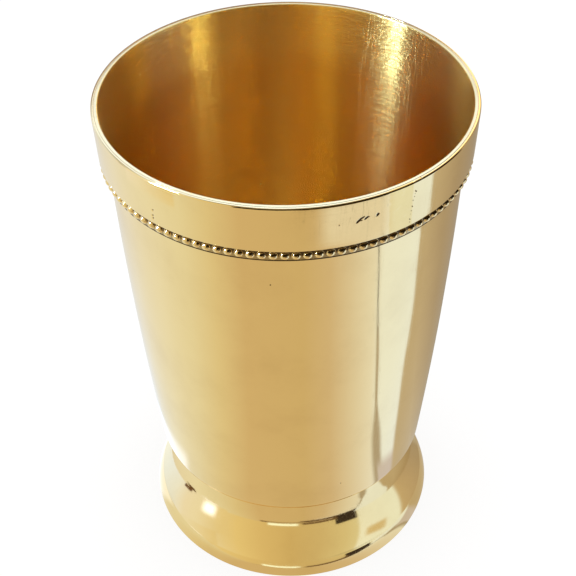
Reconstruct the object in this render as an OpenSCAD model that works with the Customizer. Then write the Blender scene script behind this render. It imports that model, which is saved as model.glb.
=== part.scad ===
// Footed julep cup in polished brass. A spun bowl flares a little at its lip,
// where a plain strap and a beaded wire are brazed round it, and it stands on
// a spun trumpet foot. The origin is the centre of the ring it rests on, +Z is
// up, and lengths are in millimetres.

/* [Cup] */
// Height over all, from the table to the rim
cup_h = 114; // [95:1:150]
// Inside diameter of the mouth
mouth_d = 75; // [60:0.5:95]

/* [Bowl] */
// Thickness of the spun sheet
wall_t = 0.7; // [0.5:0.05:1.2]
// Height of the lip that flares above the wall
lip_h = 15; // [12:0.5:20]
// Lean of the flared lip from upright, in degrees
lip_lean = 6.6; // [4:0.1:10]
// Radius of the bend where the wall turns out into the lip
lip_bend_r = 60; // [40:5:80]
// Rounding of the lip's inner edge
lip_round = 0.2; // [0.1:0.05:0.3]
// Lean of the wall just under the lip, in degrees
wall_lean = 1.6; // [0.5:0.1:3]
// Radius of the long curve that the wall follows down to the heel
wall_curve_r = 1150; // [900:50:2500]
// Height of the heel, where the wall turns in, above the table
heel_h = 23.3; // [18:0.1:32]
// Radius of the heel's turn
heel_r = 3; // [2:0.1:4.5]
// Slope of the underside from the heel in to the floor, in degrees
under_slope = 14; // [8:1:20]

/* [Strap] */
// Height of the plain strap round the lip
strap_h = 10.1; // [7:0.1:13]
// Thickness of the strap at the rim
strap_top_t = 0.55; // [0.45:0.05:1.2]
// Thickness of the strap at its lower edge
strap_low_t = 1.35; // [1.2:0.05:2]
// Rounding of the strap's outer edges
strap_round = 0.3; // [0.1:0.05:0.4]
// Width of the butt joint where the ends of the strap meet
seam_w = 0.3; // [0.2:0.05:0.6]
// Where the butt joint lies round the cup, in degrees from +X
seam_turn = -54; // [-180:1:180]

/* [Beaded wire] */
// Height of the wire's flat back
wire_h = 2.55; // [2.4:0.05:3.2]
// Thickness of the wire's flat back
wire_t = 0.85; // [0.6:0.05:1.1]
// Rounding of the wire's outer edges
wire_round = 0.15; // [0.05:0.05:0.2]
// Diameter of one bead
bead_d = 1.8; // [1.4:0.05:2]
// Distance from bead to bead, round the circle of their centres
bead_pitch = 2.1; // [2.05:0.01:2.6]
// How far the bead centres lie inside the wire's face
bead_sink = 0.3; // [0.1:0.05:0.5]
// Where the first bead lies round the cup, in degrees from +X
bead_turn = 2.2; // [0:0.1:4]

/* [Foot] */
// Thickness of the foot's spun sheet
foot_t = 0.8; // [0.6:0.05:1.2]
// How far the neck is set in from the bowl's heel
neck_inset = 6.6; // [5:0.1:9]
// Height of the straight neck under the bowl
neck_h = 2; // [1.5:0.1:3.5]
// How far the hollow curve spreads out below the neck
cove_spread = 8.4; // [6:0.1:11]
// Height of the foot's upright edge
edge_h = 3.1; // [2:0.1:4.5]
// How far the edge leans out towards the table
edge_lean = 0.8; // [0.4:0.05:1.2]
// Rounding of the edge's upper corner
edge_top_round = 0.5; // [0.3:0.05:0.7]
// Rounding of the edge's lower corner
edge_low_round = 0.4; // [0.2:0.05:0.6]

/* [Brazing] */
// Thickness of the braze behind the strap and the beaded wire
braze_t = 0.1; // [0.05:0.01:0.2]
// Radius of the braze fillets at the foot
fillet_r = 1; // [0.6:0.05:1.1]

/* [Hidden] */
// How far a cutting shape runs past what it cuts
over = 1;
// Facets round a turned shape and round a bead
turn_facets = 180;
bead_facets = 24;
// Steps along each stretch of the outlines
heel_steps = 10;
wall_steps = 28;
bend_steps = 8;
cove_steps = 24;
round_steps = 6;
// How far the flat floor's rim lies inside the neck
floor_inset = 3;

// The bowl's outline. Each stretch is a round arc or a straight line, and its
// lean is the angle between the outline and the upright.
lip_r = mouth_d / 2 + wall_t / cos(lip_lean);
shoulder_z = cup_h - lip_h;
bend_rise = lip_bend_r * (sin(lip_lean) - sin(wall_lean));
bend_run = lip_bend_r * (cos(wall_lean) - cos(lip_lean));
shoulder_r = lip_r - bend_run - (lip_h - bend_rise) * tan(lip_lean);
bend_c = [shoulder_r, shoulder_z] + lip_bend_r * [cos(wall_lean), -sin(wall_lean)];
wall_c = [shoulder_r, shoulder_z] - wall_curve_r * [cos(wall_lean), -sin(wall_lean)];
heel_lean = asin((wall_c.y - heel_h) / wall_curve_r);
heel_end = wall_c + wall_curve_r * [cos(heel_lean), -sin(heel_lean)];
heel_c = heel_end - heel_r * [cos(heel_lean), -sin(heel_lean)];
under_end = heel_c + heel_r * [sin(under_slope), -cos(under_slope)];

// The neck and the floor hang from the sloping underside.
neck_r = heel_end.x - neck_inset;
floor_r = neck_r - floor_inset;
neck_top = under_z(neck_r);
floor_z = under_z(floor_r);

// The strap and the wire hang from the rim, on the leaning lip.
strap_z = cup_h - strap_h;
wire_z = strap_z - wire_h;
strap_top_r = lip_r + braze_t + strap_top_t;
strap_low_r = side_r(strap_z) + braze_t + strap_low_t;
wire_r = side_r(strap_z - wire_h / 2) + braze_t + wire_t;
bead_ring_r = wire_r - bead_sink;
bead_z = strap_z - wire_h / 2;
bead_count = round(360 / (2 * asin(bead_pitch / 2 / bead_ring_r)));

// The foot's hollow curve is a round arc that leaves the neck upright.
cove_h = neck_top - neck_h - edge_h;
cove_turn = 2 * atan(cove_spread / cove_h);
cove_r = cove_h / sin(cove_turn);
cove_c = [neck_r + cove_r, edge_h + cove_h];
edge_top_r = neck_r + cove_spread;
foot_r = edge_top_r + edge_lean;
edge_inner_r = cove_c.x - (cove_r + foot_t) * cos(cove_turn);

// Height of the bowl's underside at radius r
function under_z(r) = under_end.y - (under_end.x - r) * tan(under_slope);

// Outside radius of the bowl at height z, on the lip, in the bend or on the wall
function side_r(z) =
    z > shoulder_z + bend_rise ? lip_r - (cup_h - z) * tan(lip_lean)
    : z > shoulder_z ? bend_c.x - sqrt(lip_bend_r ^ 2 - (z - bend_c.y) ^ 2)
    : wall_c.x + sqrt(wall_curve_r ^ 2 - (wall_c.y - z) ^ 2);

// Points on an arc about c, from one angle to another
function arc(c, r, from, to, steps) =
    [for (i = [0:steps]) let (a = from + (to - from) * i / steps) c + r * [cos(a), sin(a)]];

// Points that round the corner p by r, between the directions to the points
// before it and after it
function rounded(before, p, after, r, steps) =
    let (u = (before - p) / norm(before - p))
    let (v = (after - p) / norm(after - p))
    let (half = acos(u * v) / 2)
    let (c = p + (u + v) / norm(u + v) * r / sin(half))
    let (a = p + u * r / tan(half) - c)
    let (b = p + v * r / tan(half) - c)
    [for (i = [0:steps])
        let (t = i / steps)
        let (s = sin(180 - 2 * half))
        c + (a * sin((1 - t) * (180 - 2 * half)) + b * sin(t * (180 - 2 * half))) / s];

// The bowl's side from the floor's edge up to height top, at a distance inside
// its outer face; a distance below zero lies outside that face
function side_outline(inside, top) = concat(
    [[floor_r - inside * tan(under_slope / 2), floor_z + inside]],
    arc(heel_c, heel_r - inside, under_slope - 90, -heel_lean, heel_steps),
    arc(wall_c, wall_curve_r - inside, -heel_lean, -wall_lean, wall_steps),
    arc(bend_c, lip_bend_r + inside, 180 - wall_lean, 180 - lip_lean, bend_steps),
    [[lip_r - inside / cos(lip_lean) + (top - cup_h) * tan(lip_lean), top]]);

function reversed(list) = [for (i = [len(list) - 1:-1:0]) list[i]];

module turned(points) {
    rotate_extrude($fn = turn_facets)
        polygon(points);
}

// The solid inside the bowl's outer face, grown by a film's thickness
module bowl_form(film) {
    side = side_outline(-film, cup_h + over);
    turned(concat([[0, floor_z - film]], side, [[0, cup_h + over]]));
}

// Spun bowl: one sheet from the flat floor round the heel and up to the lip
module bowl() {
    outer = side_outline(0, cup_h);
    inner = side_outline(wall_t, cup_h);
    rim = inner[len(inner) - 1];
    under_rim = inner[len(inner) - 2];
    lip = rounded([lip_r, cup_h], rim, under_rim, lip_round, round_steps);
    inside = [for (i = [len(inner) - 2:-1:0]) inner[i]];
    color("gold")
        turned(concat([[0, floor_z]], outer, lip, inside, [[0, floor_z + wall_t]]));
}

// The strap as a closed ring, before the joint of its ends is cut
module strap_ring() {
    low_in = [side_r(strap_z) - over, strap_z];
    low_out = [strap_low_r, strap_z];
    top_out = [strap_top_r, cup_h];
    top_in = [lip_r - over, cup_h];
    difference() {
        turned(concat(
            [top_in, low_in],
            rounded(low_in, low_out, top_out, strap_round, round_steps),
            rounded(low_out, top_out, top_in, strap_round, round_steps)));
        bowl_form(braze_t);
    }
}

// The narrow gap between the ends of the strap
module seam_slot() {
    rotate([0, 0, seam_turn])
        translate([lip_r / 2, -seam_w / 2, strap_z - over])
            cube([lip_r, seam_w, strap_h + 2 * over]);
}

// Plain strap, bent round the lip with its ends butted together
module rim_strap() {
    color("goldenrod")
        difference() {
            strap_ring();
            seam_slot();
        }
}

// Beaded wire: round beads in a row on a flat back, tight under the strap
module beaded_wire() {
    low_in = [side_r(wire_z) - over, wire_z];
    low_out = [wire_r, wire_z];
    top_out = [wire_r, strap_z];
    top_in = [side_r(strap_z) - over, strap_z];
    color("khaki")
        difference() {
            union() {
                turned(concat(
                    [top_in, low_in],
                    rounded(low_in, low_out, top_out, wire_round, round_steps),
                    rounded(low_out, top_out, top_in, wire_round, round_steps)));
                for (i = [0:bead_count - 1])
                    rotate([0, 0, bead_turn + 360 * i / bead_count])
                        translate([bead_ring_r, 0, bead_z])
                            sphere(d = bead_d, $fn = bead_facets);
            }
            bowl_form(braze_t);
        }
}

// Spun foot: straight neck, hollow curve and upright edge, open underneath
module foot() {
    top_out = [neck_r, neck_top];
    top_in = [neck_r - foot_t, under_z(neck_r - foot_t)];
    cove_out = arc(cove_c, cove_r, 180, 180 + cove_turn, cove_steps);
    cove_in = arc(cove_c, cove_r + foot_t, 180, 180 + cove_turn, cove_steps);
    edge_top = [edge_top_r, edge_h];
    edge_low = [foot_r, 0];
    inner_low = [edge_inner_r, 0];
    color("darkgoldenrod")
        turned(concat(
            [top_in, top_out],
            [for (i = [0:cove_steps - 1]) cove_out[i]],
            rounded(cove_out[cove_steps - 1], edge_top, edge_low, edge_top_round, round_steps),
            rounded(edge_top, edge_low, inner_low, edge_low_round, round_steps),
            [inner_low],
            reversed(cove_in)));
}

// Braze behind the strap and the wire, and between the ends of the strap
module rim_braze() {
    color("lightyellow") {
        union() {
            difference() {
                intersection() {
                    bowl_form(braze_t);
                    translate([0, 0, wire_z])
                        cylinder(r = strap_top_r + over, h = cup_h - wire_z, $fn = turn_facets);
                }
                bowl_form(0);
            }
            intersection() {
                strap_ring();
                seam_slot();
            }
        }
    }
}

// A hollow braze fillet in the corner between the neck and the underside, on
// the side of the neck that direction gives: 1 outside, -1 inside
module fillet(corner_r, direction) {
    corner = [corner_r, under_z(corner_r)];
    on_neck = corner - [0, fillet_r];
    on_bowl = corner + direction * fillet_r * [cos(under_slope), sin(under_slope)];
    turned(concat([corner], rounded(on_neck, corner, on_bowl, fillet_r, round_steps)));
}

// Braze fillets that join the foot to the bowl, outside and inside the neck
module foot_braze() {
    color("lightyellow") {
        fillet(neck_r, 1);
        fillet(neck_r - foot_t, -1);
    }
}

bowl();
rim_strap();
beaded_wire();
foot();
rim_braze();
foot_braze();
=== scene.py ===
import math

import bmesh
import bpy
import numpy as np

from mathutils import Matrix


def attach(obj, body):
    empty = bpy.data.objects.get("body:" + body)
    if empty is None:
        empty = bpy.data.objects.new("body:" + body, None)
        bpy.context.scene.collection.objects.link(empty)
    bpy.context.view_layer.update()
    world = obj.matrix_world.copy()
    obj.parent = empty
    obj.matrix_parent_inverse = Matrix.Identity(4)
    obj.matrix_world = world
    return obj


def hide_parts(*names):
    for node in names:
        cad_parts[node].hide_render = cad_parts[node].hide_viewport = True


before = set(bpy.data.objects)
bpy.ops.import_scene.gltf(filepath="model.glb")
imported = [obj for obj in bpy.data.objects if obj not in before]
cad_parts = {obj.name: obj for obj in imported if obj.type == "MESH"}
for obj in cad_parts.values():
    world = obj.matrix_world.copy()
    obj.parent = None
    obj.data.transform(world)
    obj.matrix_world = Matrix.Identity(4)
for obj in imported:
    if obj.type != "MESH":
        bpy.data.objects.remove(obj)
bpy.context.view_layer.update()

MM = 0.001
PER_METRE = 1000.0
rng = np.random.default_rng(11)

# Driving sizes in millimetres and degrees, with the names and values that the solids have
cup_h = 114.0
mouth_d = 75.0
wall_t = 0.7
lip_h, lip_lean, lip_bend_r, lip_round = 15.0, 6.6, 60.0, 0.2
wall_lean, wall_curve_r = 1.6, 1150.0
heel_h, heel_r, under_slope = 23.3, 3.0, 14.0
strap_h, strap_top_t, strap_low_t, strap_round = 10.1, 0.55, 1.35, 0.3
seam_turn, seam_w = -54.0, 0.3
wire_h, wire_t, wire_round = 2.55, 0.85, 0.15
bead_d, bead_pitch, bead_sink, bead_turn = 1.8, 2.1, 0.3, 2.2
foot_t, neck_inset, neck_h, cove_spread = 0.8, 6.6, 2.0, 8.4
edge_h, edge_lean = 3.1, 0.8
braze_t, fillet_r, floor_inset = 0.1, 1.0, 3.0


def sine(angle):
    return math.sin(math.radians(angle))


def cosine(angle):
    return math.cos(math.radians(angle))


def tangent(angle):
    return math.tan(math.radians(angle))


# The outline's corners and centres, worked out as the solids' own are
lip_r = mouth_d / 2 + wall_t / cosine(lip_lean)
shoulder_z = cup_h - lip_h
bend_rise = lip_bend_r * (sine(lip_lean) - sine(wall_lean))
bend_run = lip_bend_r * (cosine(wall_lean) - cosine(lip_lean))
shoulder = np.array([lip_r - bend_run - (lip_h - bend_rise) * tangent(lip_lean), shoulder_z])
wall_normal = np.array([cosine(wall_lean), -sine(wall_lean)])
bend_c = shoulder + lip_bend_r * wall_normal
wall_c = shoulder - wall_curve_r * wall_normal
heel_lean = math.degrees(math.asin((wall_c[1] - heel_h) / wall_curve_r))
heel_normal = np.array([cosine(heel_lean), -sine(heel_lean)])
heel_c = wall_c + (wall_curve_r - heel_r) * heel_normal
heel_x = (wall_c + wall_curve_r * heel_normal)[0]
under_end = heel_c + heel_r * np.array([sine(under_slope), -cosine(under_slope)])
neck_r = heel_x - neck_inset
floor_r = neck_r - floor_inset
strap_z = cup_h - strap_h
wire_z = strap_z - wire_h


def under_z(r):
    """Height of the bowl's underside at radius r: a straight slope in from the heel."""
    return under_end[1] - (under_end[0] - r) * tangent(under_slope)


def side_r(z):
    """Outside radius of the bowl at height z, on the lip's slope, in its bend or on the long wall curve."""
    if z > shoulder_z + bend_rise:
        return lip_r - (cup_h - z) * tangent(lip_lean)
    if z > shoulder_z:
        return bend_c[0] - math.sqrt(lip_bend_r ** 2 - (z - bend_c[1]) ** 2)
    return wall_c[0] + math.sqrt(wall_curve_r ** 2 - (wall_c[1] - z) ** 2)


floor_z = under_z(floor_r)
neck_top = under_z(neck_r)
strap_top_r = lip_r + braze_t + strap_top_t
strap_low_r = side_r(strap_z) + braze_t + strap_low_t
wire_r = side_r(strap_z - wire_h / 2) + braze_t + wire_t
bead_ring_r = wire_r - bead_sink
bead_z = strap_z - wire_h / 2
bead_count = round(360 / (2 * math.degrees(math.asin(bead_pitch / 2 / bead_ring_r))))
cove_h = neck_top - neck_h - edge_h
cove_turn = 2 * math.degrees(math.atan(cove_spread / cove_h))
cove_r = cove_h / sine(cove_turn)
cove_c = np.array([neck_r + cove_r, edge_h + cove_h])
edge_top = np.array([neck_r + cove_spread, edge_h])
edge_low = np.array([edge_top[0] + edge_lean, 0])
edge_inner_r = cove_c[0] - (cove_r + foot_t) * cosine(cove_turn)


# Outlines and surfaces; TINY keeps a mark whose ends meet from a division by 0
GUARD, CORNER = 0.03, 6
MERGE, TINY = 1e-7, 1e-9
RIPPLE_TURNS = (2, 3, 5, 8)
RIPPLE_TILT = 0.05


def arc(centre, radius, start, end, steps):
    """Points on a round arc: centre + radius * (cos a, sin a), a running evenly from start to end degrees."""
    a = np.radians(np.linspace(start, end, steps + 1))[:, None]
    return centre + radius * np.hstack([np.cos(a), np.sin(a)])


def rounded(before, corner, after, radius, steps=6):
    """Points that round a corner: the arc of that radius which touches the lines to the points before and
    after it."""
    before, corner, after = (np.asarray(p, float) for p in (before, corner, after))
    u = (before - corner) / np.linalg.norm(before - corner)
    v = (after - corner) / np.linalg.norm(after - corner)
    half = math.acos(u @ v) / 2
    centre = corner + (u + v) / np.linalg.norm(u + v) * radius / math.sin(half)
    a = corner + u * radius / math.tan(half) - centre
    b = corner + v * radius / math.tan(half) - centre
    sweep = math.pi - 2 * half
    t = np.linspace(0, 1, steps + 1)[:, None]
    return centre + (a * np.sin((1 - t) * sweep) + b * np.sin(t * sweep)) / math.sin(sweep)


def filled(outline, spacing, closed=False):
    """An outline with each stretch longer than spacing divided, and with a point GUARD away from each turn of
    more than CORNER degrees, so that the turn doesn't bend the flat's shading. Spacing is a length, or a
    function that gives it from the stretch's middle point."""
    ends = np.vstack([outline, outline[:1]]) if closed else outline
    way = np.diff(ends, axis=0)
    length = np.linalg.norm(way, axis=1)
    way = way / length[:, None]
    turn = np.degrees(np.arccos(np.clip((way * np.roll(way, 1, 0)).sum(1), -1, 1)))
    if not closed:
        turn[0] = 0
    after = np.append(turn[1:], turn[0] if closed else 0)
    parts = []
    for p, w, d, before, behind in zip(ends[:-1], way, length, turn, after):
        t = [0.0]
        step = spacing(p + w * d / 2) if callable(spacing) else spacing
        if d > step:
            t += list(np.linspace(0, d, math.ceil(d / step) + 1)[1:-1])
        if d > 5 * GUARD:
            t += [GUARD] * (before > CORNER) + [d - GUARD] * (behind > CORNER)
        parts.append(p + np.sort(np.array(t))[:, None] * w)
    return np.vstack(parts + ([] if closed else [ends[-1:]]))


def around(count, places=(), half=0.6, fine=0.1):
    """Azimuths round the cup in degrees: count of them evenly spaced, and some that are fine apart within
    half of the given places."""
    even = np.arange(count) * 360 / count - 180
    near = [p + np.arange(-half, half + fine / 2, fine) for p in places]
    keep = [a for a in even if all(abs(a - p) > half + fine for p in places)]
    return np.sort(np.concatenate([keep, *near]))


def in_scene(name, data):
    """A new object that holds some data, linked into the scene."""
    thing = bpy.data.objects.new(name, data)
    bpy.context.scene.collection.objects.link(thing)
    return thing


def woven(name, points, closed, closed_round=True, marked=None):
    """A mesh from a grid of points (across, round, 3) in millimetres: a four-sided face between each point
    and its neighbours, closed round the axis and across it if asked; points within MERGE metres of each
    other, as at a pole, are merged. marked, if given, is kept at the points as the attribute pit."""
    rows, cols = points.shape[:2]
    grid = np.arange(rows * cols).reshape(rows, cols)
    here = grid if closed else grid[:-1]
    over = np.roll(grid, -1, 0)[: len(here)]
    faces = np.stack([here, np.roll(here, -1, 1), np.roll(over, -1, 1), over], -1)
    faces = (faces if closed_round else faces[:, :-1]).reshape(-1, 4)
    mesh = bpy.data.meshes.new(name)
    mesh.from_pydata((points.reshape(-1, 3) * MM).tolist(), [], faces.tolist())
    if marked is not None:
        pit = mesh.attributes.new("pit", "FLOAT", "POINT")
        pit.data.foreach_set("value", marked.reshape(-1).astype(np.float32))
    built = bmesh.new()
    built.from_mesh(mesh)
    bmesh.ops.remove_doubles(built, verts=built.verts, dist=MERGE)
    built.to_mesh(mesh)
    built.free()
    mesh.shade_smooth()
    return in_scene(name, mesh)


def turned(name, outline, azimuths, closed=False, worn=None):
    """An outline of (radius, height) turned about the axis: x = r cos a, y = r sin a, z = height. worn, if
    given, takes the grids of radius, azimuth and height and gives back the radius and height with their small
    faults, and how deep in a mark each point lies."""
    a, r = np.meshgrid(azimuths, outline[:, 0])
    z = np.repeat(outline[:, 1:], len(azimuths), 1)
    marked = None
    if worn:
        r, z, marked = worn(r, a, z)
    t = np.radians(a)
    return woven(name, np.stack([r * np.cos(t), r * np.sin(t), z], -1), closed, marked=marked)


def ripple(a, z, seed):
    """A slow uneven wave over the surface, within -1 to 1: the mean of sines that run n times round in
    azimuth a, for each n in RIPPLE_TURNS, tilted by up to n RIPPLE_TILT radians per unit of height z."""
    dice = np.random.default_rng(seed)
    total = 0
    for n in RIPPLE_TURNS:
        tilt, phase = dice.uniform(-1, 1) * RIPPLE_TILT * n, dice.uniform(0, 2 * np.pi)
        total = total + np.sin(np.radians(n * a) + tilt * z + phase) / len(RIPPLE_TURNS)
    return total


def marks_in(r, a, z, marks):
    """How far and how deep each point is pressed in: exp(-(distance / half width) squared), and that times
    the depth, for the distance from the short line between a mark's two ends. A mark is (azimuth, height,
    azimuth, height, half width, depth)."""
    share, depth = 0 * r, 0 * r
    for a0, z0, a1, z1, half, deep in marks:
        u, v = np.radians(a - a0) * r, z - z0
        run, rise = np.radians(a1 - a0) * r, z1 - z0
        t = np.clip((u * run + v * rise) / (run ** 2 + rise ** 2 + TINY), 0, 1)
        bit = np.exp(-((u - t * run) ** 2 + (v - t * rise) ** 2) / half ** 2)
        share, depth = np.maximum(share, bit), np.maximum(depth, deep * bit)
    return share, depth


def dot(azimuth, height, half, depth):
    """A mark whose two ends meet."""
    return azimuth, height, azimuth, height, half, depth


def side_outline(inside, wall_steps=80, heel_steps=16, bend_steps=10):
    """The bowl's side from the floor's edge up to the mouth, at a distance inside its outer face."""
    return np.vstack([
        [[floor_r - inside * tangent(under_slope / 2), floor_z + inside]],
        arc(heel_c, heel_r - inside, under_slope - 90, -heel_lean, heel_steps),
        arc(wall_c, wall_curve_r - inside, -heel_lean, -wall_lean, wall_steps)[1:],
        arc(bend_c, lip_bend_r + inside, 180 - wall_lean, 180 - lip_lean, bend_steps)[1:],
        [[lip_r - inside / cosine(lip_lean), cup_h]]])


# Pits in the outer faces of the bowl and the strap, as marks_in takes them
BOWL_MARKS = [dot(-95.37, 94.49, 0.17, 0.08), dot(-70.14, 29.51, 0.17, 0.06), dot(118.0, 61.0, 0.15, 0.08)]
STRAP_MARKS = [
    (-71.3, 109.25, -70.2, 109.9, 0.15, 0.09), (-70.2, 109.9, -69.35, 110.15, 0.1, 0.06),
    (-70.6, 109.45, -69.9, 109.45, 0.07, 0.03), (-69.0, 109.62, -68.2, 109.95, 0.12, 0.08),
    (-65.5, 109.7, -65.15, 109.95, 0.16, 0.1), (-65.4, 110.3, -65.2, 109.4, 0.05, 0.02),
    dot(-130.1, 107.3, 0.19, 0.15), dot(-130.4, 105.95, 0.2, 0.17), dot(-130.4, 105.3, 0.2, 0.16),
    dot(-76.3, 109.3, 0.09, 0.03),
    (-53.25, 111.9, -52.95, 111.6, 0.12, 0.08), dot(-53.3, 111.2, 0.1, 0.06), dot(-53.4, 110.6, 0.13, 0.05),
    dot(-53.8, 109.85, 0.14, 0.03), dot(-53.9, 108.5, 0.12, 0.09), dot(-54.1, 107.5, 0.13, 0.04),
    dot(-54.3, 106.8, 0.1, 0.03), (-54.5, 105.7, -54.2, 105.5, 0.11, 0.05), dot(-54.3, 104.9, 0.12, 0.08)]
# Pits in the strap's top edge, each (azimuth, radius, half width, depth)
RIM_PITS = [(-51.1, 38.45, 0.16, 0.1), (-49.4, 38.55, 0.12, 0.05)]
# Distances between the rows of points in the pieces' meshes, and how near the bowl's pits and the outer faces
# the rows are fine
FINE_ROW, FOOT_ROW, EVEN_ROW, OPEN_ROW = 0.13, 0.7, 0.8, 1.8
PIT_REACH, FACE_REACH = 0.8, 0.3

# The bowl
BOWL_RIPPLE, RIPPLE_RISE, RIPPLE_FALL = 0.035, 20, 12
PITTED_R = (0, 30.0, 37.8)


def worn_bowl(r, a, z):
    """The spun sheet's faults: a ripple in the radius, which eases in over RIPPLE_RISE above the heel and out
    over RIPPLE_FALL below the mouth, and the pits, in what lies outside PITTED_R, a radius given at the
    floor, the heel and the mouth."""
    share = np.clip((z - heel_h) / RIPPLE_RISE, 0, 1) * np.clip((cup_h - z) / RIPPLE_FALL, 0, 1)
    r = r + BOWL_RIPPLE * share * ripple(a, z, seed=5)
    outside = r > np.interp(z, [floor_z, heel_h, cup_h], PITTED_R)
    mark, depth = marks_in(r, a, z, BOWL_MARKS)
    return r - outside * depth, z, mark * outside


def bowl_spacing(middle):
    """Close rows across the outer face's pits, and open ones elsewhere."""
    near = any(abs(middle[1] - height) < PIT_REACH for _, height, *_ in BOWL_MARKS)
    on_outer_face = middle[0] > side_r(max(middle[1], heel_h)) - FACE_REACH
    return FINE_ROW if near and on_outer_face else OPEN_ROW


outer = side_outline(0)
inner = side_outline(wall_t, wall_steps=50)
lip = rounded((lip_r, cup_h), inner[-1], inner[-2], lip_round, 8)
bowl_outline = filled(
    np.vstack([[[0, floor_z]], outer, lip, inner[-2::-1], [[0, floor_z + wall_t]]]), bowl_spacing)
bowl = turned("bowl_spun", bowl_outline, around(300, [m[0] for m in BOWL_MARKS]), worn=worn_bowl)

# The strap
STRAP_RIPPLE = 0.02
JOINT_RIDGE, JOINT_GROOVE, JOINT_DIP = 0.04, 0.03, 0.04
BACK_T, BACK_LEAN = 0.9, 0.04
TOP_BAND, RIM_BAND = 0.02, 0.3
# Azimuths of the pits and the joint, where the mesh is finer
STRAP_FINE_PLACES = [-130.3, -76.3, -71.0, -69.0, -65.4, -53.9, -51.1]


def worn_strap(r, a, z):
    """The strap's faults. Its ends meet in a shallow groove between faint ridges: at a distance d from the
    joint, with s = exp(-(3 d / seam_w) squared), r gains JOINT_RIDGE exp(-d / 2) - JOINT_GROOVE s, and the
    top edge sinks by JOINT_DIP s. Pits lie along the outer face, outside a line that starts BACK_T from the
    bowl's side and leans out by BACK_LEAN, and the top edge has two of its own."""
    d = np.abs(np.radians(a - seam_turn)) * strap_top_r
    s = np.exp(-((d / (seam_w / 3)) ** 2))
    outer_face = r > side_r(strap_z) + BACK_T + (z - strap_z) * BACK_LEAN
    top = z > cup_h - TOP_BAND
    z = z - np.where(top, JOINT_DIP * s, 0)
    mark, depth = marks_in(r, a, z, STRAP_MARKS)
    mark = mark * outer_face
    for azimuth, radius, half, deep in RIM_PITS:
        bit = np.exp(-((np.radians(a - azimuth) * r) ** 2 + (r - radius) ** 2) / half ** 2)
        bit = bit * (z > cup_h - RIM_BAND)
        z, mark = z - deep * bit, np.maximum(mark, bit)
    joint = JOINT_RIDGE * np.exp(-d / 2) - JOINT_GROOVE * s
    r = r + np.where(outer_face & ~top, joint + STRAP_RIPPLE * ripple(a, z, seed=8) - depth, 0)
    return r, z, mark


def strap_spacing(middle):
    """Close rows over the strap's outer face and its edges, and even ones behind."""
    return FINE_ROW if middle[0] > side_r(middle[1]) + FACE_REACH else EVEN_ROW


low_in, low_out = (side_r(strap_z) + braze_t, strap_z), (strap_low_r, strap_z)
top_in, top_out = (lip_r + braze_t, cup_h), (strap_top_r, cup_h)
strap_outline = filled(np.vstack([
    [low_in], rounded(low_in, low_out, top_out, strap_round, 8),
    rounded(low_out, top_out, top_in, strap_round, 10), [top_in]]), strap_spacing, closed=True)
strap = turned("strap_bent", strap_outline, around(330, STRAP_FINE_PLACES, 0.95, 0.15),
               closed=True, worn=worn_strap)

# The beaded wire, whose beads vary by parts of a degree and of their size
BEAD_DRAW = 1.1
BEAD_TURN_VARIES, BEAD_SIZE_VARIES = 0.03, 0.012


def bead_row():
    """The beads, each the outward part of a ball drawn out along the wire: a point at turn p round the bead
    and angle t from its outermost point lies at centre + d / 2 * (cos t outward + BEAD_DRAW sin t cos p along
    + sin t sin p up). Their azimuths and sizes vary a little."""
    rings, spokes, reach = 7, 12, 112
    t = np.radians(np.linspace(0, reach, rings + 1))[None, :, None]
    p = np.radians(np.arange(spokes) * 360 / spokes)[None, None, :]
    turn = bead_turn + 360 * np.arange(bead_count) / bead_count + rng.normal(0, BEAD_TURN_VARIES, bead_count)
    turn = np.radians(turn)
    size = bead_d / 2 * (1 + rng.normal(0, BEAD_SIZE_VARIES, bead_count))
    turn, size = turn[:, None, None], size[:, None, None]
    out = bead_ring_r + size * np.cos(t) + 0 * p
    along = BEAD_DRAW * size * np.sin(t) * np.cos(p)
    up = bead_z + size * np.sin(t) * np.sin(p)
    x = out * np.cos(turn) - along * np.sin(turn)
    y = out * np.sin(turn) + along * np.cos(turn)
    points = np.stack([x, y, up], -1)
    index = np.arange(points[..., 0].size).reshape(points.shape[:3])
    here, over = index[:, :-1], index[:, 1:]
    faces = np.stack([here, over, np.roll(over, -1, 2), np.roll(here, -1, 2)], -1).reshape(-1, 4)
    return points.reshape(-1, 3), faces


def beaded_wire():
    """The wire's flat back, a rounded strip turned about the axis, with the row of beads set in its face."""
    outline = filled(np.vstack([
        [(side_r(wire_z) + braze_t, wire_z)],
        rounded((side_r(wire_z), wire_z), (wire_r, wire_z), (wire_r, strap_z), wire_round, 4),
        rounded((wire_r, wire_z), (wire_r, strap_z), (side_r(strap_z), strap_z), wire_round, 4),
        [(side_r(strap_z) + braze_t, strap_z)]]), EVEN_ROW, closed=True)
    back = turned("beaded_wire_rolled", outline, around(360), closed=True)
    points, faces = bead_row()
    built = bmesh.new()
    built.from_mesh(back.data)
    row = bpy.data.meshes.new("bead_row")
    row.from_pydata((points * MM).tolist(), [], faces.tolist())
    built.from_mesh(row)
    bmesh.ops.remove_doubles(built, verts=built.verts, dist=MERGE)
    built.to_mesh(back.data)
    built.free()
    bpy.data.meshes.remove(row)
    back.data.shade_smooth()
    return back


wire = beaded_wire()

# The foot, whose edge has a face that bulges: an arc from its lean at the base to its lean at the top
FOOT_RIPPLE, FOOT_RIPPLE_RISE = 0.03, 4
EDGE_BULGE_R, EDGE_LEANS = 9.0, (12.4, 32.5)
BASE_SET_OUT, CORNER_RISE = 0.3, 0.18
BASE_ROUND, CORNER_ROUND = 0.12, 0.25


def worn_foot(r, a, z):
    """The foot's hand-spun unevenness: a ripple that eases in over FOOT_RIPPLE_RISE above its edge."""
    return r + FOOT_RIPPLE * np.clip((z - edge_h) / FOOT_RIPPLE_RISE, 0, 1) * ripple(a, z, seed=3), z, None


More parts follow.
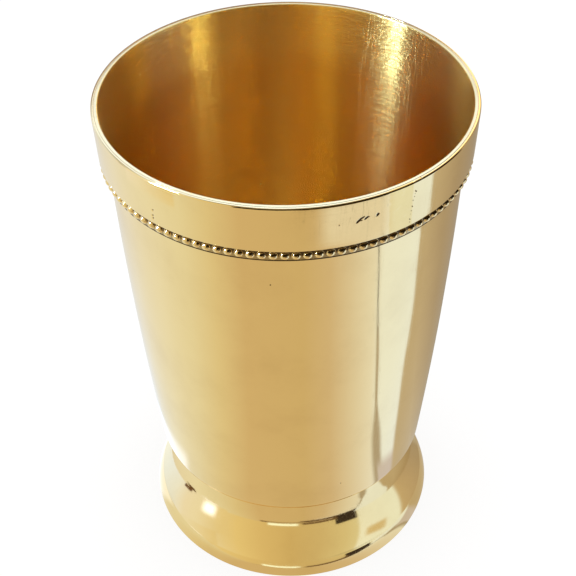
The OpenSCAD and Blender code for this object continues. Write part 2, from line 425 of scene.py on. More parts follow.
base = edge_low + np.array([BASE_SET_OUT, 0])
bulge_c = base - EDGE_BULGE_R * np.array([cosine(EDGE_LEANS[0]), sine(EDGE_LEANS[0])])
bulge = arc(bulge_c, EDGE_BULGE_R, *EDGE_LEANS, 10)
corner_z = edge_h + CORNER_RISE
cove_stop = math.degrees(math.asin((cove_c[1] - corner_z) / cove_r))
cove_out = arc(cove_c, cove_r, 180, 180 + cove_stop, 60)
cove_in = arc(cove_c, cove_r + foot_t, 180, 180 + cove_turn, 40)
foot_outline = filled(np.vstack([
    [(edge_inner_r, 0)],
    rounded((edge_inner_r, 0), bulge[0], bulge[1], BASE_ROUND),
    bulge[1:-1],
    rounded(bulge[-2], cove_out[-1], cove_out[-2], CORNER_ROUND),
    cove_out[-2::-1],
    [(neck_r, neck_top)],
    [(neck_r - foot_t, under_z(neck_r - foot_t))],
    cove_in[:-1]]), FOOT_ROW, closed=True)
foot = turned("foot_spun", foot_outline, around(300), closed=True, worn=worn_foot)

# The filler of the brazed seams
RIM_DISH, WIRE_FILLET_R = 0.03, 0.22


def rim_braze_outline():
    """The film's section: between the bowl's lip and the strap and wire, RIM_DISH below the rim where it was
    dressed, with a small hollow fillet under the wire."""
    z = np.linspace(wire_z, cup_h - RIM_DISH, 60)
    face = np.array([side_r(h) for h in z])
    corner, below = (side_r(wire_z) + braze_t, wire_z), wire_z - 1
    fillet = rounded((wire_r, wire_z), corner, (side_r(below), below), WIRE_FILLET_R)
    outside = np.column_stack([face + braze_t, z])[1:]
    inside = np.column_stack([face, z])[::-1]
    return np.vstack([fillet[::-1], outside, inside])


rim_braze = turned("rim_braze_run", rim_braze_outline(), around(300), closed=True)


def corner_fillet(corner_r, side):
    """A hollow fillet's section in the corner between the neck and the underside; side is 1 outside the neck
    and -1 inside it."""
    corner = np.array([corner_r, under_z(corner_r)])
    on_neck = corner - [0, fillet_r]
    on_bowl = corner + side * fillet_r * np.array([cosine(under_slope), sine(under_slope)])
    face = rounded(on_neck, corner, on_bowl, fillet_r, 10)
    return np.vstack([[corner], face[::-1] if side < 0 else face])


def joined(name, pieces):
    """Several meshes as one piece."""
    built = bmesh.new()
    for piece in pieces:
        built.from_mesh(piece.data)
    mesh = bpy.data.meshes.new(name)
    built.to_mesh(mesh)
    built.free()
    mesh.shade_smooth()
    for piece in pieces:
        bpy.data.meshes.remove(piece.data)
    return in_scene(name, mesh)


foot_braze = joined("foot_braze_run", [
    turned("fillet_outside", corner_fillet(neck_r, 1), around(240), closed=True),
    turned("fillet_inside", corner_fillet(neck_r - foot_t, -1), around(240), closed=True)])

# The nodes of materials; a Mix node's sockets for colours are known by their numbers
MIX_A, MIX_B, MIXED = 6, 7, 2


class Bench:
    """Lays out the nodes of one material, group or world."""

    def __init__(self, tree):
        self.tree = tree
        tree.nodes.clear()

    def put(self, kind, **settings):
        node = self.tree.nodes.new(kind if kind.startswith("Node") else "ShaderNode" + kind)
        for key, value in settings.items():
            setattr(node, key, value)
        return node

    def feed(self, socket, value):
        """Links a socket to another's output, or sets it to a plain value."""
        if isinstance(value, bpy.types.NodeSocket):
            self.tree.links.new(value, socket)
        else:
            socket.default_value = value

    def math(self, operation, *values):
        """The result of one Math node's operation on values."""
        node = self.put("Math", operation=operation)
        for socket, value in zip(node.inputs, values):
            self.feed(socket, value)
        return node.outputs[0]

    def times(self, a, b):
        return self.math("MULTIPLY", a, b)

    def plus(self, a, b):
        return self.math("ADD", a, b)

    def minus(self, a, b):
        return self.math("SUBTRACT", a, b)

    def hypot(self, a, b):
        """The length of two values at right angles."""
        return self.math("SQRT", self.plus(self.times(a, a), self.times(b, b)))

    def between(self, value, low, high, to_low=0.0, to_high=1.0, kind="SMOOTHSTEP"):
        """A step of a value from low to high, smooth if not LINEAR, given as to_low to to_high."""
        node = self.put("MapRange", interpolation_type=kind)
        ends = {"Value": value, "From Min": low, "From Max": high, "To Min": to_low, "To Max": to_high}
        for name, end in ends.items():
            self.feed(node.inputs[name], end)
        return node.outputs["Result"]

    def blend(self, share, a, b):
        """Two colours mixed by a share."""
        node = self.put("Mix", data_type="RGBA")
        self.feed(node.inputs["Factor"], share)
        self.feed(node.inputs[MIX_A], a)
        self.feed(node.inputs[MIX_B], b)
        return node.outputs[MIXED]

    def noise(self, vector, scale, detail, rough=0.5, dimensions="3D", w=None):
        node = self.put("TexNoise", noise_dimensions=dimensions)
        self.feed(node.inputs["Vector"], vector)
        node.inputs["Scale"].default_value = scale
        node.inputs["Detail"].default_value = detail
        node.inputs["Roughness"].default_value = rough
        if w is not None:
            self.feed(node.inputs["W"], w)
        return node.outputs["Fac"]

    def place(self):
        """The Object coordinates and their three parts."""
        coordinates = self.put("TexCoord").outputs["Object"]
        parts = self.put("SeparateXYZ")
        self.feed(parts.inputs[0], coordinates)
        return coordinates, parts.outputs[0], parts.outputs[1], parts.outputs[2]

    def vector(self, x, y, z):
        node = self.put("CombineXYZ")
        for socket, value in zip(node.inputs, (x, y, z)):
            self.feed(socket, value)
        return node.outputs[0]


def new_material(name):
    """A material without nodes, and its bench."""
    material = bpy.data.materials.new(name)
    material.use_nodes = True
    return material, Bench(material.node_tree)


def shop_group(name, inputs, output):
    """A node group with named float inputs and one output: its bench, its inputs and the output's socket."""
    tree = bpy.data.node_groups.new(name, "ShaderNodeTree")
    for key in inputs:
        tree.interface.new_socket(key, in_out="INPUT", socket_type="NodeSocketFloat")
    tree.interface.new_socket(output, in_out="OUTPUT", socket_type="NodeSocketFloat")
    bench = Bench(tree)
    return bench, bench.put("NodeGroupInput").outputs, bench.put("NodeGroupOutput").inputs[output]


def scaled(bench, vector, scale):
    """A vector times a number."""
    node = bench.put("VectorMath", operation="SCALE")
    bench.feed(node.inputs[0], vector)
    bench.feed(node.inputs["Scale"], scale)
    return node.outputs[0]


def make_lathe_lines():
    """Fine lines that run round the axis: noise that changes fast with radius and height, and slowly round
    the cup."""
    bench, given, out = shop_group("lathe_lines", ["Lines per mm", "Broken"], "Height")
    _, x, y, z = bench.place()
    r = bench.math("MAXIMUM", bench.hypot(x, y), 1e-5)
    fast = bench.times(given["Lines per mm"], PER_METRE)
    around_x = bench.times(bench.math("DIVIDE", x, r), given["Broken"])
    around_y = bench.times(bench.math("DIVIDE", y, r), given["Broken"])
    spot = bench.vector(bench.times(r, fast), bench.times(z, fast), around_x)
    bench.feed(out, bench.noise(spot, 1.0, detail=3.0, rough=0.6, dimensions="4D", w=around_y))


# The directions of wiping, each turned by three angles in radians and moved by metres, and their stretch
WIPES = (((0.5, 0.3, 0.4), 0.0), ((1.9, 0.7, 1.1), 3.0), ((0.2, 2.2, 2.6), 7.0))
WIPE_STRETCH = 0.035


def make_wiping_scratches():
    """Hairline scratches in three slanting directions: thin crests of noise stretched along each."""
    bench, given, out = shop_group("wiping_scratches", ["Per mm", "Fineness"], "Mask")
    coordinates = bench.place()[0]
    total = 0.0
    for turn, offset in WIPES:
        turned_to = bench.put("Mapping")
        bench.feed(turned_to.inputs["Vector"], coordinates)
        turned_to.inputs["Location"].default_value = (offset, offset, offset)
        turned_to.inputs["Rotation"].default_value = turn
        turned_to.inputs["Scale"].default_value = (1.0, 1.0, WIPE_STRETCH)
        dense = scaled(bench, turned_to.outputs[0], bench.times(given["Per mm"], PER_METRE))
        crest = bench.math("ABSOLUTE", bench.minus(bench.noise(dense, 1.0, detail=1.0), 0.5))
        line = bench.between(crest, 0.0, given["Fineness"], 1.0, 0.0)
        patches = bench.between(bench.noise(dense, 0.13, detail=0.0), 0.52, 0.62)
        total = bench.math("MAXIMUM", total, bench.times(line, patches))
    bench.feed(out, total)


def make_tarnish():
    """Cloudy patches where the polish has dulled: soft-edged noise, over a share of about Cover."""
    bench, given, out = shop_group("tarnish", ["Patch per m", "Cover"], "Mask")
    cloud = bench.noise(scaled(bench, bench.place()[0], given["Patch per m"]), 1.0, detail=5.0, rough=0.6)
    edge = bench.minus(1.0, given["Cover"])
    low, high = bench.minus(edge, 0.15), bench.plus(edge, 0.2)
    bench.feed(out, bench.between(cloud, low, high))


def make_height_band():
    """A band of heights in millimetres: 1 between Low and High, easing to 0 over Soft beyond each."""
    bench, given, out = shop_group("height_band", ["Low", "High", "Soft"], "Mask")
    z = bench.times(bench.place()[3], PER_METRE)
    below = bench.between(z, bench.minus(given["Low"], given["Soft"]), given["Low"])
    above = bench.between(z, given["High"], bench.plus(given["High"], given["Soft"]), 1.0, 0.0)
    bench.feed(out, bench.times(below, above))


def make_bead_gaps():
    """Painted shade between the beads: 1 where the azimuth and the height are far from every bead's centre.
    """
    bench, given, out = shop_group("bead_gaps", ["Reach", "Soft"], "Mask")
    _, x, y, z = bench.place()
    pitch = 2 * math.pi / bead_count
    turn = bench.minus(bench.math("ARCTAN2", y, x), math.radians(bead_turn))
    along = bench.times(bench.math("PINGPONG", turn, pitch / 2), bead_ring_r)
    up = bench.minus(bench.times(z, PER_METRE), bead_z)
    away = bench.hypot(along, up)
    bench.feed(out, bench.between(away, given["Reach"], bench.plus(given["Reach"], given["Soft"])))


for make in (make_lathe_lines, make_wiping_scratches, make_tarnish, make_height_band, make_bead_gaps):
    make()


def use(bench, group, output, **inputs):
    """One output of a shop group placed in a material, with its own values."""
    node = bench.put("Group", node_tree=bpy.data.node_groups[group])
    for key, value in inputs.items():
        bench.feed(node.inputs[key.replace("_", " ")], value)
    return node.outputs[output]


# Colours of the metal: clean, browned, of the filler, under a solder stain, and inside the cup, where a
# deeper one stands in for the metal's many reflections of itself; and a dark one for the painted shade in
# crevices and for the darkened pits
BRASS = (0.86, 0.64, 0.31, 1)
BROWNED = (0.42, 0.24, 0.09, 1)
PALE_BRASS = (0.9, 0.76, 0.47, 1)
STAINED = (0.81, 0.57, 0.224, 1)
INSIDE_BRASS = (0.86, 0.625, 0.23, 1)
DARK_SHADE_AND_PITS = (0.06, 0.03, 0.01, 1)
# What clouded patches add to the roughness, as a share of what scratches add, and what the painted shade and
# the darkened pits add; the height in metres that counts as 1 in the bumps
CLOUD_SHARE, SHADE_AND_PITS_ROUGH = 0.3, 0.35
BUMP_STEP = 0.00002


def brass(name, colour=BRASS, smooth=0.06, uneven=0.03, dull=0.08, lines=4.0, line_depth=0.08, scratch=0.05,
          stain=0.12, painted_shade=None, stained=None, pitted=False, brushed=0.0, streaked=0.0, ragged=0.0):
    """Polished brass with its lathe lines, so many per millimetre, its wiping scratches and browned patches.
    Its roughness is smooth, and the lines add up to uneven, scratches dull and some broad lines streaked.
    line_depth, scratch and ragged are the heights of the lines, the scratches and a broken brushing. stain is
    the patches' share of brown. painted_shade and stained, if given, are functions of the bench that give the
    masks of the painted shade in crevices and of the yellower stain; pitted darkens the marks pressed in, and
    brushed spreads reflections across the lines."""
    material, bench = new_material(name)
    line = use(bench, "lathe_lines", "Height", Lines_per_mm=lines, Broken=1.5)
    marks = use(bench, "wiping_scratches", "Mask", Per_mm=0.9, Fineness=0.015)
    cloud = use(bench, "tarnish", "Mask", Patch_per_m=60.0, Cover=0.45)
    shade = colour
    if stained:
        shade = bench.blend(stained(bench), shade, STAINED)
    shade = bench.blend(bench.times(cloud, stain), shade, BROWNED)
    rough = bench.between(line, 0.35, 0.75, smooth, smooth + uneven)
    rough = bench.plus(rough, bench.times(cloud, dull * CLOUD_SHARE))
    rough = bench.plus(rough, bench.times(marks, dull))
    if streaked:
        broad = use(bench, "lathe_lines", "Height", Lines_per_mm=1.6, Broken=1.0)
        rough = bench.plus(rough, bench.times(bench.between(broad, 0.38, 0.62), streaked))
    # Painted shade in crevices and the darkened pits, both mixed towards one dark colour and made rougher
    painted_shade_and_pits = painted_shade(bench) if painted_shade else 0.0
    if pitted:
        pit = bench.put("Attribute", attribute_name="pit").outputs["Fac"]
        painted_shade_and_pits = bench.math("MAXIMUM", painted_shade_and_pits, bench.between(pit, 0.25, 0.7, 0.0, 0.9))
    if painted_shade or pitted:
        shade = bench.blend(painted_shade_and_pits, shade, DARK_SHADE_AND_PITS)
        rough = bench.plus(rough, bench.times(painted_shade_and_pits, SHADE_AND_PITS_ROUGH))
    bump = bench.put("Bump")
    bump.inputs["Distance"].default_value = BUMP_STEP
    bump.inputs["Strength"].default_value = 1.0
    lined = bench.times(line, line_depth)
    height = bench.plus(lined, bench.times(marks, -scratch))
    if ragged:
        dashes = use(bench, "lathe_lines", "Height", Lines_per_mm=1.5, Broken=16.0)
        height = bench.plus(height, bench.times(dashes, ragged))
    bench.feed(bump.inputs["Height"], height)
    surface = bench.put("BsdfPrincipled")
    surface.inputs["Metallic"].default_value = 1.0
    bench.feed(surface.inputs["Base Color"], shade)
    bench.feed(surface.inputs["Roughness"], rough)
    bench.feed(surface.inputs["Normal"], bump.outputs[0])
    if brushed:
        surface.inputs["Anisotropic"].default_value = brushed
        surface.inputs["Anisotropic Rotation"].default_value = 0.25
        along = bench.put("Tangent", direction_type="RADIAL", axis="Z")
        bench.feed(surface.inputs["Tangent"], along.outputs[0])
    bench.feed(bench.put("OutputMaterial").inputs["Surface"], surface.outputs[0])
    return material


def crevice(*bands):
    """Painted shade in crevices: bands of heights, each (low, high, soft, strength)."""
    def mask(bench):
        total = 0.0
        for low, high, soft, strength in bands:
            band = use(bench, "height_band", "Mask", Low=low, High=high, Soft=soft)
            total = bench.math("MAXIMUM", total, bench.times(band, strength))
        return total
    return mask


def between_beads(bench):
    """Painted shade in the wire's corners: under the strap, along the wire's lower edge and between its
    beads, deeper above the beads' middle.
    """
    edges = crevice((strap_z - 0.3, strap_z, 0.1, 0.95), (wire_z, wire_z + 0.32, 0.08, 1.0))(bench)
    gaps = use(bench, "bead_gaps", "Mask", Reach=0.84, Soft=0.14)
    upper = use(bench, "height_band", "Mask", Low=bead_z + 0.2, High=strap_z, Soft=0.7)
    gaps = bench.times(gaps, bench.between(upper, 0.0, 1.0, 0.55, 0.95))
    return bench.math("MAXIMUM", edges, gaps)


# How the joint's stain slants, in degrees per millimetre of height, how far its sides stray, and the azimuths
# from the joint between which it comes in and goes out
STAIN_SLANT, STAIN_STRAY = 0.06, 1.2
STAIN_BEFORE, STAIN_PAST = (-7.2, -6.2), (0.7, 1.4)


def beside_joint(bench):
    """The strap's stain left by the soldering of its joint: a mottled patch from about 7 degrees before the
    joint to 1 degree past it."""
    coordinates, x, y, z = bench.place()
    turn = bench.math("DEGREES", bench.math("ARCTAN2", y, x))
    turn = bench.plus(turn, bench.times(z, STAIN_SLANT / MM))
    mottle = bench.noise(coordinates, 900.0, detail=3.0, rough=0.6)
    turn = bench.plus(turn, bench.times(mottle, STAIN_STRAY))
    joint = seam_turn + strap_z * STAIN_SLANT
    before = bench.between(turn, joint + STAIN_BEFORE[0], joint + STAIN_BEFORE[1])
    past = bench.between(turn, joint + STAIN_PAST[0], joint + STAIN_PAST[1], 1.0, 0.0)
    mask = bench.times(before, past)
    return bench.times(mask, bench.between(mottle, 0.2, 0.5, 0.7, 1.0))


# Painted shade: a dark band on the bowl just under the wire's lower edge, and one on the strap just over the
# wire
under_wire = crevice((wire_z - 0.1, wire_z, 0.1, 0.75))
over_wire = crevice((strap_z, strap_z + 0.06, 0.06, 0.8))
for piece, *finishes in (
        (bowl, brass("bowl_brass_outside", pitted=True, painted_shade=under_wire),
         brass("bowl_brass_inside", colour=INSIDE_BRASS, smooth=0.21, dull=0.03, lines=2.5, line_depth=0.9,
               scratch=0.3, stain=0.15, brushed=1.0, streaked=0.01, ragged=5.0)),
        (strap, brass("strap_brass", pitted=True, stained=beside_joint, painted_shade=over_wire)),
        (wire, brass("beaded_wire_brass", smooth=0.07, painted_shade=between_beads)),
        (foot, brass("foot_brass", smooth=0.05)),
        (rim_braze, brass("rim_braze_brass", colour=PALE_BRASS)),
        (foot_braze, brass("foot_braze_brass", colour=PALE_BRASS))):
    for finish in finishes:
        piece.data.materials.append(finish)


def inside_faces(mesh):
    """For each face of the bowl, 1 if it lies on the inner side of its sheet's middle and 0 if not."""
    centres = np.zeros(len(mesh.polygons) * 3)
    mesh.polygons.foreach_get("center", centres)
    centres = centres.reshape(-1, 3) / MM
    r, z = np.hypot(centres[:, 0], centres[:, 1]), centres[:, 2]
    half_t = wall_t / 2
    face_r = np.array([side_r(max(h, heel_h)) for h in z])
    face_z = np.array([under_z(d) if d > floor_r else floor_z for d in r])
    inside = np.where(z > heel_h, r < face_r - half_t, z > face_z + half_t)
    in_heel = (r > under_end[0]) & (z <= heel_h)
    inside = np.where(in_heel, np.hypot(r - heel_c[0], z - heel_c[1]) < heel_r - half_t, inside)
    return inside.astype(np.int32)


bowl.data.polygons.foreach_set("material_index", inside_faces(bowl.data))

for piece, node, slot in (
        (bowl, "bowl", "bowl_brass"),
        (strap, "rim_strap", "strap_brass"),
        (wire, "beaded_wire", "bead_brass"),
        (foot, "foot", "foot_brass"),
        (rim_braze, "rim_braze", "braze"),
        (foot_braze, "foot_braze", "braze")):
    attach(piece, "root")
    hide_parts(node)

# The studio: sheets a hair below and above the table's height, and a dome over them
FLOOR_R, ROOM_R, TABLE_HOLE_R = 4000.0, 3900.0, 34.9
SHEET_GAP = 0.02
WHITE, PALE = (1, 1, 1, 1), (0.9, 0.9, 0.9, 1)
PAPER_GLOW = 0.8


def ring_sheet(name, inner, outer, height, steps=180):
    """A flat ring: points at two radii round the axis."""
    t = np.radians(np.arange(steps) * 360 / steps)
    points = np.stack([np.stack([r * np.cos(t), r * np.sin(t), 0 * t + height], -1) for r in (outer, inner)])
    return woven(name, points, False)


def paper():
    """White paper that takes a faint shadow: where the camera or a reflection sees it, PAPER_GLOW of it is an
    even glow."""
    material, bench = new_material("pale_floor")
    path = bench.put("LightPath").outputs
    mirrored = bench.math("MAXIMUM", path["Is Glossy Ray"], path["Is Transmission Ray"])
    seen = bench.math("MAXIMUM", path["Is Camera Ray"], mirrored)
    diffuse = bench.put("BsdfDiffuse")
    diffuse.inputs["Color"].default_value = PALE
    lit = bench.put("Emission")
    mixed = bench.put("MixShader")
    bench.feed(mixed.inputs[0], bench.times(seen, PAPER_GLOW))
    bench.feed(mixed.inputs[1], diffuse.outputs[0])
    bench.feed(mixed.inputs[2], lit.outputs[0])
    bench.feed(bench.put("OutputMaterial").inputs["Surface"], mixed.outputs[0])
    return material


floor = ring_sheet("floor", 0.01, FLOOR_R, -SHEET_GAP)
floor.data.materials.append(paper())


def turn_from_front(bench, x, y):
    """Azimuth of a direction in degrees, from the front towards the right, -180 to 180."""
    return bench.math("DEGREES", bench.math("ARCTAN2", x, bench.times(y, -1.0)))


def toned(bench, turn, tones):
    """The colour at an azimuth, from stops of (azimuth, colour)."""
    node = bench.put("ValToRGB")
    bench.feed(node.inputs[0], bench.math("MULTIPLY_ADD", turn, 1 / 360, 0.5))
    stops = node.color_ramp.elements
    for i, (angle, colour) in enumerate(tones):
        stop = stops[i] if i < 2 else stops.new((angle + 180) / 360)
        stop.position = (angle + 180) / 360
        stop.color = (*colour, 1)
    return node.outputs[0]


def patch(bench, turn, up, box, soft):
    """1 in a box (left, right, low, high) of two values, easing to 0 beyond it over soft, a pair; low may be
    another node's output."""
    left, right, low, high = box
    wide, tall = soft
    rising = bench.between(turn, left - wide, left)
    mask = bench.times(rising, bench.between(turn, right, right + wide, 1.0, 0.0))
    below = bench.minus(low, tall)
    mask = bench.times(mask, bench.between(up, below, low))
    return bench.times(mask, bench.between(up, high, high + tall, 1.0, 0.0))


def patched(bench, shown, turn, up, patches):
    """A colour with patches laid over it one after another, each (box, soft, colour)."""
    for box, soft, colour in patches:
        shown = bench.blend(patch(bench, turn, up, box, soft), shown, (*colour, 1))
    return shown


def shown_by(thing, name, paint, shades=False):
    """Gives a card a material that glows with the colour that paint makes on its bench, and isn't a lamp. One
    that shades also hides the lamps behind it."""
    material, bench = new_material(name)
    material.cycles.emission_sampling = "NONE"
    light = bench.put("Emission")
    bench.feed(light.inputs["Color"], paint(bench))
    bench.feed(bench.put("OutputMaterial").inputs["Surface"], light.outputs[0])
    thing.data.materials.append(material)
    thing.visible_camera = thing.visible_diffuse = thing.visible_transmission = False
    thing.visible_shadow = shades


# Tones of the table round the cup, by azimuth, chosen for what the brass shows: tan in front, painted as the
# shade where the photographer stands, and a pale panel beyond a thin dark line, with the cup's own painted
# shadow at the right behind its edge
TABLE = [
    (-180, (0.62, 0.58, 0.5)), (-150, (0.8, 0.8, 0.76)), (-115, (0.92, 1.0, 1.08)),
    (-85, (0.94, 1.03, 1.06)), (-62, (0.9, 0.96, 0.9)), (-44, (0.84, 0.82, 0.64)),
    (-26, (0.74, 0.64, 0.45)), (8, (0.71, 0.62, 0.42)), (24, (0.74, 0.67, 0.55)),
    (40, (0.84, 0.88, 0.92)), (52, (0.92, 1.04, 1.22)), (58, (0.98, 1.22, 1.65)),
    (90, (0.97, 1.22, 1.65)), (92, (0.6, 0.56, 0.47)), (112, (0.48, 0.42, 0.32)),
    (140, (0.4, 0.34, 0.26)), (165, (0.52, 0.46, 0.38)), (180, (0.62, 0.58, 0.5))]
# The table's patches: azimuths in degrees and distances in millimetres, softness of both, colour
TABLE_PATCHES = [
    ((53.2, 62, 152, 5000), (0.8, 3.0), (0.98, 1.22, 1.65)),
    ((25, 50, 152, 172), (12.0, 3.0), (0.93, 1.0, 1.1)),
    ((36, 54, 178, 5000), (2.0, 4.0), (0.05, 0.04, 0.035)),
    ((8, 36, 178, 420), (5.0, 8.0), (0.13, 0.08, 0.04)),
    ((8, 36, 900, 5000), (5.0, 300.0), (0.2, 0.14, 0.08)),
    ((-26, -20, 300, 900), (3.0, 60.0), (0.25, 0.19, 0.1)),
    ((-20, 8, 240, 800), (3.0, 30.0), (0.5, 0.42, 0.26)),
    ((-99, -91, 177, 5000), (1.5, 2.5), (0.16, 0.1, 0.05)),
    ((-77, -70, 196, 5000), (7.0, 14.0), (1.35, 1.65, 2.5)),
    ((-130, -78, 25, 42), (8.0, 6.0), (1.2, 1.4, 1.8))]
# The dark line lies at LINE_TURN and leans back by LINE_LEAN degrees per millimetre; it and the panel's edge
# step aside between the distances STEP
LINE_TURN, LINE_LEAN, LINE_STEP = 58.5, -0.03, -1.7
LINE_TONES = (0.5, 0.49, 0.47, 1), (0.12, 0.12, 0.12, 1)
PANEL_EDGE, PANEL_BOW, PANEL_STEP = -13.5, 4.5, 3.0
STEP = 147.0, 151.0
# The panel's tone in the painted shade near the foot, and the cup's own painted shadow behind the panel's
# edge
PANEL_IN_PAINTED_SHADE, PAINTED_CUP_SHADOW = (0.69, 0.72, 0.93, 1), (0.6, 0.56, 0.47, 1)


def table_tones(bench):
    """The table's colour by azimuth and distance: its tones, the dark line, which narrows outwards, the
    panel's painted shade near the cup, the cup's own painted shadow behind the panel's edge, and the patches."""
    _, x, y, _ = bench.place()
    far = bench.times(bench.hypot(x, y), PER_METRE)
    turn = turn_from_front(bench, x, y)
    shown = toned(bench, turn, TABLE)
    line_at = bench.math("MULTIPLY_ADD", far, LINE_LEAN, LINE_TURN)
    line_at = bench.plus(line_at, bench.between(far, *STEP, 0.0, LINE_STEP))
    half = bench.between(far, 56.0, 72.0, 2.6, 0.0)
    half = bench.plus(half, bench.between(far, 92.0, 112.0, 1.1, 0.45))
    away = bench.math("ABSOLUTE", bench.minus(turn, line_at))
    away = bench.math("DIVIDE", away, half)
    line_tone = bench.blend(bench.between(far, 95.0, 112.0), *LINE_TONES)
    shown = bench.blend(bench.between(away, 0.4, 1.5, 1.0, 0.0), shown, line_tone)
    # Painted shade on the panel near the foot
    near = patch(bench, turn, far, (58, 90, 20, 45), (2.0, 5.0))
    shown = bench.blend(near, shown, PANEL_IN_PAINTED_SHADE)
    edge = bench.between(far, 70.0, 115.0, PANEL_EDGE, PANEL_EDGE + PANEL_BOW)
    edge = bench.plus(edge, bench.between(far, *STEP, 0.0, PANEL_STEP))
    # The cup's own painted shadow on the table, behind the panel's edge
    behind = patch(bench, turn, bench.times(y, PER_METRE), (62, 92, edge, 5000), (2.0, 3.0))
    shown = bench.blend(behind, shown, PAINTED_CUP_SHADOW)
    return patched(bench, shown, turn, far, TABLE_PATCHES)


# Tones of the room round the cup, by azimuth
ROOM = [
    (-180, (1.3, 1.7, 2.6)), (-150, (1.25, 1.6, 2.4)), (-125, (1.0, 1.3, 2.1)),
    (-110, (0.99, 1.22, 1.75)), (-98, (0.98, 1.06, 1.2)), (-82, (0.97, 1.05, 1.1)),
    (-62, (0.92, 0.9, 0.7)), (-48, (0.9, 0.83, 0.53)), (-27, (0.81, 0.71, 0.43)),
    (-2, (0.73, 0.63, 0.37)), (25, (0.74, 0.68, 0.45)), (45, (0.78, 0.77, 0.56)),
    (56, (0.82, 0.86, 0.7)), (59, (1.0, 1.2, 1.45)), (96, (1.0, 1.25, 1.58)),
    (99, (0.66, 0.6, 0.48)), (115, (0.56, 0.5, 0.42)), (135, (0.46, 0.43, 0.4)),
    (155, (1.1, 1.4, 2.0)), (180, (1.3, 1.7, 2.6))]
# The room's patches: azimuths and angles up in degrees, softness of both, colour
ROOM_PATCHES = [
    ((67, 80, 33, 38), (5.0, 5.0), (0.78, 0.72, 0.52)),
    ((156, 166, -5, 60), (3.0, 8.0), (2.2, 1.9, 1.2)),
    ((38, 56, -5, 10), (1.5, 1.5), (0.05, 0.04, 0.035)),
    ((10, 38, -5, 2.0), (3.0, 1.0), (0.2, 0.14, 0.08)),
    ((-20, 3, -2, 3), (3.0, 1.5), (1.2, 1.5, 1.7)),
    ((-104, -97, -2, 3), (1.5, 1.5), (0.16, 0.08, 0.04)),
    ((-78, -73, -2, 8), (6.0, 10.0), (1.35, 1.65, 2.5))]
DARK_WALL = (0.3, 0.2, 0.1, 1)
CEILING_TONES = (0.1, 0.08, 0.05, 1), (0.55, 0.5, 0.3, 1)


def room_tones(bench):
    """The room's colour by azimuth and angle up: its tones, dark walls at the back corners and low behind, a
    dark ceiling in front and at the sides, whose edge is lower at the right, and the patches."""
    coordinates, x, y, _ = bench.place()
    turn = turn_from_front(bench, x, y)
    unit = bench.put("VectorMath", operation="NORMALIZE")
    bench.feed(unit.inputs[0], coordinates)
    parts = bench.put("SeparateXYZ")
    bench.feed(parts.inputs[0], unit.outputs[0])
    up = bench.math("DEGREES", bench.math("ARCSINE", parts.outputs[2]))
    shown = toned(bench, turn, ROOM)
    edge = bench.between(turn, 20.0, 80.0, 62.0, 45.0, kind="LINEAR")
    above = bench.between(bench.minus(up, edge), 0.0, 6.0)
    above = bench.times(above, bench.between(up, 78.0, 84.0, 1.0, 0.0))
    side = bench.math("ABSOLUTE", turn)
    above = bench.times(above, bench.between(side, 108.0, 122.0, 1.0, 0.0))
    flank = bench.between(side, 106.0, 116.0)
    flank = bench.times(flank, bench.between(side, 146.0, 154.0, 1.0, 0.0))
    flank = bench.times(flank, bench.between(up, 26.0, 34.0))
    back = bench.between(side, 140.0, 150.0)
    back = bench.times(back, bench.between(up, 28.0, 34.0, 1.0, 0.0))
    shown = bench.blend(bench.math("MAXIMUM", flank, back), shown, DARK_WALL)
    ceiling = bench.blend(bench.between(turn, 82.0, 90.0), *CEILING_TONES)
    shown = bench.blend(above, shown, ceiling)
    return patched(bench, shown, turn, up, ROOM_PATCHES)


def veil_tones(bench):
    """The room's tones, with a cool glow low down."""
    _, x, y, z = bench.place()
    turn = turn_from_front(bench, x, y)
    glow = patch(bench, turn, bench.times(z, PER_METRE), (-74, -70, 30, 45), (7.0, 42.0))
    return bench.blend(glow, toned(bench, turn, ROOM), (1.9, 2.3, 3.6, 1))


def low_veil_tones(bench):
    """The room's tones."""
    _, x, y, _ = bench.place()
    return toned(bench, turn_from_front(bench, x, y), ROOM)


def dark_tone(_):
    """One brown near black, whatever the bench."""
    return (0.02, 0.014, 0.008, 1)


def curved_card(name, radius, turns, low, tops, steps=60):
    """A card curved round the axis: points at one radius over a range of azimuths, from a low edge to a top
    edge whose height is drawn through the heights given at those azimuths."""
    turn = np.linspace(turns[0], turns[-1], steps)
    t = np.radians(turn - 90)
    heights = (low, np.interp(turn, turns, tops))
    points = [np.stack([radius * np.cos(t), radius * np.sin(t), 0 * t + h], -1) for h in heights]
    return woven(name, np.stack(points), False, closed_round=False)


def dome(name, radius, rings=36, spokes=144):
    """Half a hollow ball over the table: radius * (cos up cos turn, cos up sin turn, sin up)."""
    up = np.radians(np.linspace(0, 90, rings))[:, None]
    t = np.radians(np.arange(spokes) * 360 / spokes)[None, :]
    points = np.stack([np.cos(up) * np.cos(t), np.cos(up) * np.sin(t), np.sin(up) + 0 * t], -1)
    return woven(name, radius * points, False)


# Cards that only reflections show: the table, the room, a small dark flag high in front, and two pale veils
# at the left, which hide the tall window from the foot but not from the inside of the cup
shown_by(ring_sheet("table_card", TABLE_HOLE_R, ROOM_R, SHEET_GAP), "table_tones", table_tones)
shown_by(dome("room_dome", ROOM_R), "room_tones", room_tones)
flag = curved_card("front_flag", 60.0, (-20, 10, 30, 78), 99.5, (138, 142, 146, 146))
shown_by(flag, "flag_black", dark_tone)
side_veil = curved_card("side_veil", 250.0, (-89, -56), 0.0, (162, 162))
shown_by(side_veil, "veil_glow", veil_tones, shades=True)
low_veil = curved_card("low_veil", 100.0, (-92, -58), 54.0, (93, 93))
shown_by(low_veil, "low_veil_tone", low_veil_tones, shades=True)


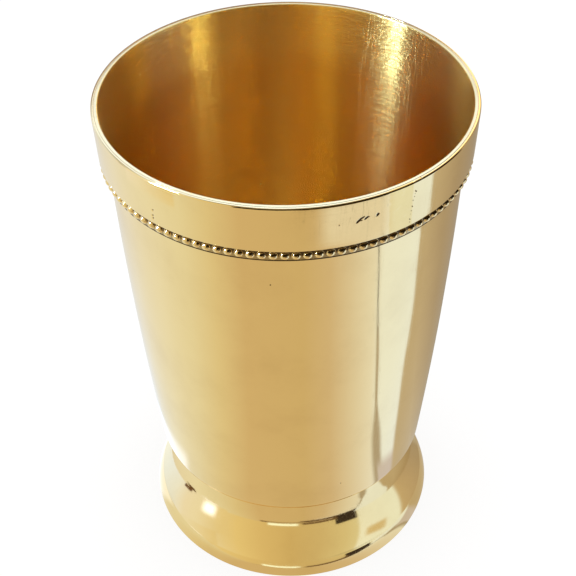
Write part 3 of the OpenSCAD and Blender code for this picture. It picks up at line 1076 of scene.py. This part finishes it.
def pale_world():
    """Even light from all round, white to the camera and hidden from reflections."""
    world = bpy.data.worlds.new("studio")
    bpy.context.scene.world = world
    world.use_nodes = True
    world.cycles_visibility.glossy = False
    bench = Bench(world.node_tree)
    sky = bench.put("Background")
    to_camera = bench.put("LightPath").outputs["Is Camera Ray"]
    bench.feed(sky.inputs["Color"], bench.blend(to_camera, PALE, WHITE))
    bench.feed(bench.put("OutputWorld").inputs["Surface"], sky.outputs[0])


pale_world()


def placed(thing, across, top, away, place):
    """Puts an object at a place with its own x, y and z along three directions."""
    rows = [[*row, p] for row, p in zip(np.column_stack([across, top, away]), place)]
    thing.matrix_world = Matrix([*rows, [0, 0, 0, 1]])


def lamp(name, place, size, radiance, aim, in_metal, tint=(1, 1, 1)):
    """A flat soft lamp, width by height, turned to face a point; radiance is its brightness as seen. It
    lights either what is reflected in metal or all the rest."""
    data = bpy.data.lights.new(name, "AREA")
    data.shape, data.size, data.size_y = "RECTANGLE", size[0] * MM, size[1] * MM
    data.energy = radiance * math.pi * data.size * data.size_y
    data.color = tint
    thing = in_scene(name, data)
    place, aim = np.array(place) * MM, np.array(aim) * MM
    away = place - aim
    away = away / np.linalg.norm(away)
    across = np.cross([0, 0, 1], away)
    across = across / np.linalg.norm(across)
    placed(thing, across, np.cross(away, across), away, place)
    thing.visible_camera = False
    thing.visible_glossy, thing.visible_diffuse = in_metal, not in_metal


# A lamp overhead lights all but the metal; the tall window, WINDOW_TURN degrees from the front to the left,
# shows only in the metal
WINDOW_TURN, WINDOW_AWAY = 75, 2000
WINDOW_TINT = (0.72, 1.0, 1.2)
window_place = (-WINDOW_AWAY * sine(WINDOW_TURN), -WINDOW_AWAY * cosine(WINDOW_TURN), 1000)
lamp("overhead", (0, 60, 1400), (900, 900), 4.0, (0, 0, 0), in_metal=False)
lamp("side_window", window_place, (110, 1700), 140.0, (0, 0, 60), in_metal=True, tint=WINDOW_TINT)

# The camera, solved from the ellipses of the mouth, the beaded row and the foot, with its turns in radians
SENSOR, LENS = 36.0, 71.54
PITCH, YAW, ROLL = 0.7154, -0.0009, 0.0169
STAND = np.array([0, -198.47, 234.53]) * MM

camera = in_scene("camera", bpy.data.cameras.new("camera"))
bpy.context.scene.camera = camera
camera.data.sensor_width = SENSOR
camera.data.lens = LENS
camera.data.clip_start, camera.data.clip_end = 0.01, 50.0
ahead = np.array([math.sin(YAW) * math.cos(PITCH), math.cos(YAW) * math.cos(PITCH), -math.sin(PITCH)])
level = np.array([math.cos(YAW), -math.sin(YAW), 0.0])
down = np.cross(ahead, level)
right = level * math.cos(ROLL) + down * math.sin(ROLL)
below = -level * math.sin(ROLL) + down * math.cos(ROLL)
placed(camera, right, -below, -ahead, STAND)
bpy.context.scene.view_settings.view_transform = "Standard"
bpy.context.scene.cycles.max_bounces = 16
bpy.context.scene.cycles.glossy_bounces = 14
